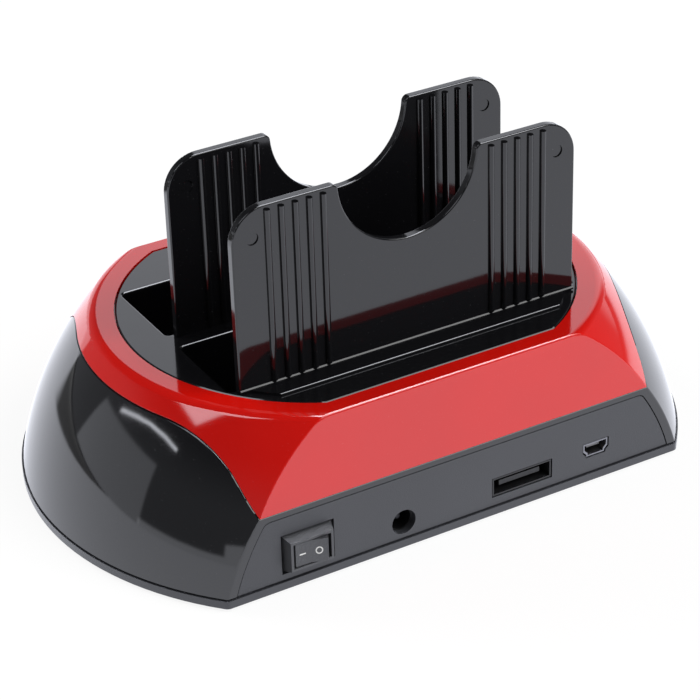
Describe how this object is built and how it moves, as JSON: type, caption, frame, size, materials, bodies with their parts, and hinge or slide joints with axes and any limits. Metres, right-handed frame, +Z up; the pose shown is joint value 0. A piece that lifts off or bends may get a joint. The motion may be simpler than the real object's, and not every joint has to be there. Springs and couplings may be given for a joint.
{
  "type": "hard drive docking station",
  "caption": "Domed two tone housing with upright open drive bays, tall guard plates with finger cut-outs and a rocker switch.",
  "frame": {"origin": "on the table plane, below the middle of the housing", "axes": "+X along the drive bays, -Y out of the connector side, +Z up, the way the drives leave"},
  "size_m": [0.182, 0.118, 0.0952],
  "materials": {
    "tray_black": "fine matt texture",
    "foot_rubber": "matt",
    "screw_steel": "plated",
    "gloss_black": "polished",
    "gloss_red": "polished",
    "deck_black": "polished",
    "circuit_board": "satin lacquer",
    "connector_black": "moulded",
    "capacitor_can": "satin",
    "chip_black": "moulded",
    "panel_grey": "satin, fine texture",
    "terminal_brass": "plain",
    "socket_steel": "plated, satin",
    "switch_black": "satin",
    "button_black": "satin",
    "lens_blue": "clear, slightly milky",
    "tongue_black": "moulded"
  },
  "bodies": {
    "dock": {"base_tray": "tray_black", "rubber_feet": "foot_rubber", "base_screws": "screw_steel", "body_shell": "gloss_black", "top_cover": "gloss_red", "bay_deck": "deck_black", "bay_board": "circuit_board", "bay_board_screws": "screw_steel", "main_board": "circuit_board", "main_board_screws": "screw_steel", "board_header": "connector_black", "capacitors": "capacitor_can", "bridge_chips": "chip_black", "power_inductor": "chip_black", "crystal": "screw_steel", "connector_panel": "panel_grey", "switch_housing": "switch_black", "switch_terminals": "terminal_brass", "dc_jack": "connector_black", "dc_jack_pin": "socket_steel", "esata_shell": "connector_black", "esata_tongue": "connector_black", "mini_usb_shell": "socket_steel", "mini_usb_tongue": "connector_black", "front_panel": "panel_grey", "card_socket": "socket_steel", "button_switch": "connector_black", "led_lenses": "lens_blue", "guard_plate_1": "gloss_black", "guard_plate_2": "gloss_black", "sata_connector_1": "connector_black", "sata_connector_2": "connector_black", "usb_shell_1": "socket_steel", "usb_shell_2": "socket_steel", "usb_tongue_1": "tongue_black", "usb_tongue_2": "tongue_black"},
    "rocker": {"switch_rocker": "switch_black"},
    "button": {"backup_button": "button_black"}
  },
  "joints": [
    {"name": "rocker_tilt", "type": "hinge", "parent": "dock", "child": "rocker", "pos_m": [-0.0452, -0.0564, 0.0108], "axis": [0, 0, 1], "range_deg": [0, 20]},
    {"name": "backup_button_press", "type": "slide", "parent": "dock", "child": "button", "axis": [0, -1, 0], "range_m": [0, 0.001], "stiffness_N_per_m": 500, "springref_m": -0.001}
  ]
}
